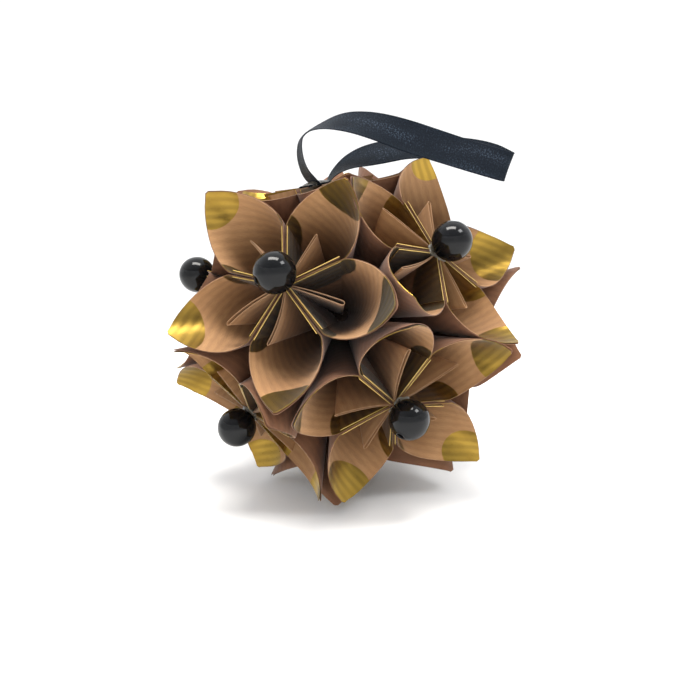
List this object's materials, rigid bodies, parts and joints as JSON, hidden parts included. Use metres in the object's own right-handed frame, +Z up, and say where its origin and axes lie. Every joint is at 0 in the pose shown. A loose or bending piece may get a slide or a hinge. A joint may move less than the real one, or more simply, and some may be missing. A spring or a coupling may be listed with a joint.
{
  "type": "paper flower ball ornament",
  "caption": "Hanging ball ornament of folded kraft paper flowers with gold dots, a glossy black bead in each flower's heart, and a black satin ribbon loop.",
  "frame": {"origin": "on the surface that the ball stands on, straight under the centre of the ball", "axes": "+Z up, as the ball comes to rest on one bead and two petal tips; +X towards the far end of the ribbon loop; -Y towards the viewer"},
  "size_m": [0.103, 0.102, 0.1024],
  "materials": {
    "kraft_gift_wrap": "matte ribbed kraft with metallic gold dots",
    "black_bead": "gloss",
    "hot_glue": "translucent gloss",
    "black_satin": "satin"
  },
  "bodies": {
    "ball": {"flower_01": "kraft_gift_wrap", "flower_02": "kraft_gift_wrap", "flower_03": "kraft_gift_wrap", "flower_04": "kraft_gift_wrap", "flower_05": "kraft_gift_wrap", "flower_06": "kraft_gift_wrap", "flower_07": "kraft_gift_wrap", "flower_08": "kraft_gift_wrap", "flower_09": "kraft_gift_wrap", "flower_10": "kraft_gift_wrap", "flower_11": "kraft_gift_wrap", "flower_12": "kraft_gift_wrap", "bead_02": "black_bead", "bead_03": "black_bead", "bead_04": "black_bead", "bead_05": "black_bead", "bead_06": "black_bead", "bead_07": "black_bead", "bead_08": "black_bead", "bead_09": "black_bead", "bead_10": "black_bead", "bead_11": "black_bead", "bead_12": "black_bead", "bead_glue_02": "hot_glue", "bead_glue_03": "hot_glue", "bead_glue_04": "hot_glue", "bead_glue_05": "hot_glue", "bead_glue_06": "hot_glue", "bead_glue_07": "hot_glue", "bead_glue_08": "hot_glue", "bead_glue_09": "hot_glue", "bead_glue_10": "hot_glue", "bead_glue_11": "hot_glue", "bead_glue_12": "hot_glue", "core_glue": "hot_glue", "join_glue": "hot_glue", "ribbon_ends": "black_satin", "ribbon_glue": "hot_glue"},
    "ribbon": {"ribbon_loop": "black_satin"}
  },
  "joints": [
    {"name": "ribbon_lift", "type": "hinge", "parent": "ball", "child": "ribbon", "pos_m": [-0.00475, -0.00342, 0.08573], "axis": [0.0107, -0.9962, -0.087], "range_deg": [0, 60]}
  ]
}
